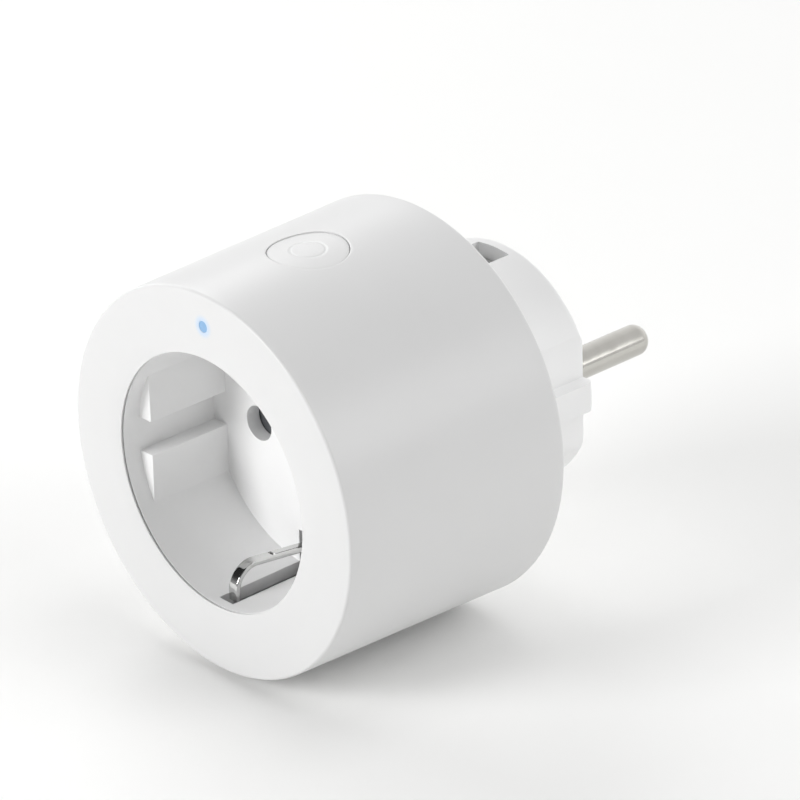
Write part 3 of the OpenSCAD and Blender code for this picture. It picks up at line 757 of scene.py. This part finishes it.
# %% Floor
HALF_FLOOR = 2.0
z_floor = cad_low.z
corners = [(HALF_FLOOR * a, HALF_FLOOR * b) for a, b in ((-1, -1), (1, -1), (1, 1), (-1, 1))]
floor_mesh = bpy.data.meshes.new("floor")
floor_mesh.from_pydata([(x, y, z_floor) for x, y in corners], [], [(0, 1, 2, 3)])
floor_mesh.materials.append(finish("painted_board", "#f7f7f6", "#fafaf9", (0.7, 0.8), 60, 0.8, 4))
floor = bpy.data.objects.new("floor", floor_mesh)
bpy.context.scene.collection.objects.link(floor)

# %% Lights


def softbox(name, place, size, power):
    """A square area light of that size in metres, aimed at the plug."""
    data = bpy.data.lights.new(name, "AREA")
    data.shape = "RECTANGLE"
    data.size, data.size_y = size
    data.energy = power
    lamp = bpy.data.objects.new(name, data)
    bpy.context.scene.collection.objects.link(lamp)
    lamp.location = place
    aim = Vector(LIGHTS_AIM_AT) - Vector(place)
    lamp.rotation_euler = aim.to_track_quat("-Z", "Y").to_euler()


LIGHTS_AIM_AT = (0, -0.03, 0)
SOFTBOXES = {
    "key": ((-0.30, -1.02, 0.39), (0.45, 0.45), 8.15),
    "left": ((-1.10, -0.10, 0.40), (0.5, 0.5), 3.2),
    "left_back": ((-0.90, 0.35, 0.75), (0.6, 0.6), 3.2),
    "top": ((0.10, 0.20, 1.20), (0.5, 0.5), 1.4),
    "top_right": ((0.70, 0.10, 0.90), (0.5, 0.5), 1.3),
    "right_back": ((0.95, 0.45, 0.55), (0.6, 0.6), 2.8),
}
for name, (place, size, power) in SOFTBOXES.items():
    softbox(name, place, size, power)

# The room's brightness: an even part, and pale walls that shine from these directions
ROOM_EVEN = 0.26
ROOM_WALLS = {"back": ((0, 1, 0), 0.8), "left": ((-1, 0, 0), 0.35)}
world = bpy.data.worlds.new("room")
world.use_nodes = True
tree = world.node_tree
direction = add(tree, "ShaderNodeTexCoord").outputs["Generated"]
total = ROOM_EVEN
for axis, strength in ROOM_WALLS.values():
    lean = add(tree, "ShaderNodeVectorMath", {0: direction, 1: axis}, operation="DOT_PRODUCT")
    lobe = add(tree, "ShaderNodeMath", {0: lean.outputs["Value"], 1: 0.0}, operation="MAXIMUM")
    share = {0: lobe.outputs[0], 1: strength, 2: total}
    total = add(tree, "ShaderNodeMath", share, operation="MULTIPLY_ADD").outputs[0]
# A dark opening high at the left front, which gives bright metal its dark band. The two cosines
# are those of its soft outer edge and of its darkest part.
DARK_TOWARDS, DARK_EDGE, DARK_HEART, DARK_LEFT = (-0.52, -0.42, 0.74), 0.60, 0.92, 0.06
opening = add(tree, "ShaderNodeVectorMath", {0: direction, 1: DARK_TOWARDS}, operation="DOT_PRODUCT")
dark = add(
    tree,
    "ShaderNodeMapRange",
    {
        "Value": opening.outputs["Value"],
        "From Min": DARK_EDGE,
        "From Max": DARK_HEART,
        "To Min": 1.0,
        "To Max": DARK_LEFT,
    },
    interpolation_type="SMOOTHSTEP",
)
room = add(tree, "ShaderNodeMath", {0: total, 1: dark.outputs["Result"]}, operation="MULTIPLY")
tree.links.new(room.outputs[0], tree.nodes["Background"].inputs["Strength"])
tree.nodes["Background"].inputs["Color"].default_value = (1, 1, 1, 1)
bpy.context.scene.world = world
bpy.context.scene.view_settings.view_transform = "Standard"
print("floor at", round(z_floor / MM, 2), "mm;", len(SOFTBOXES), "softboxes in a pale room")
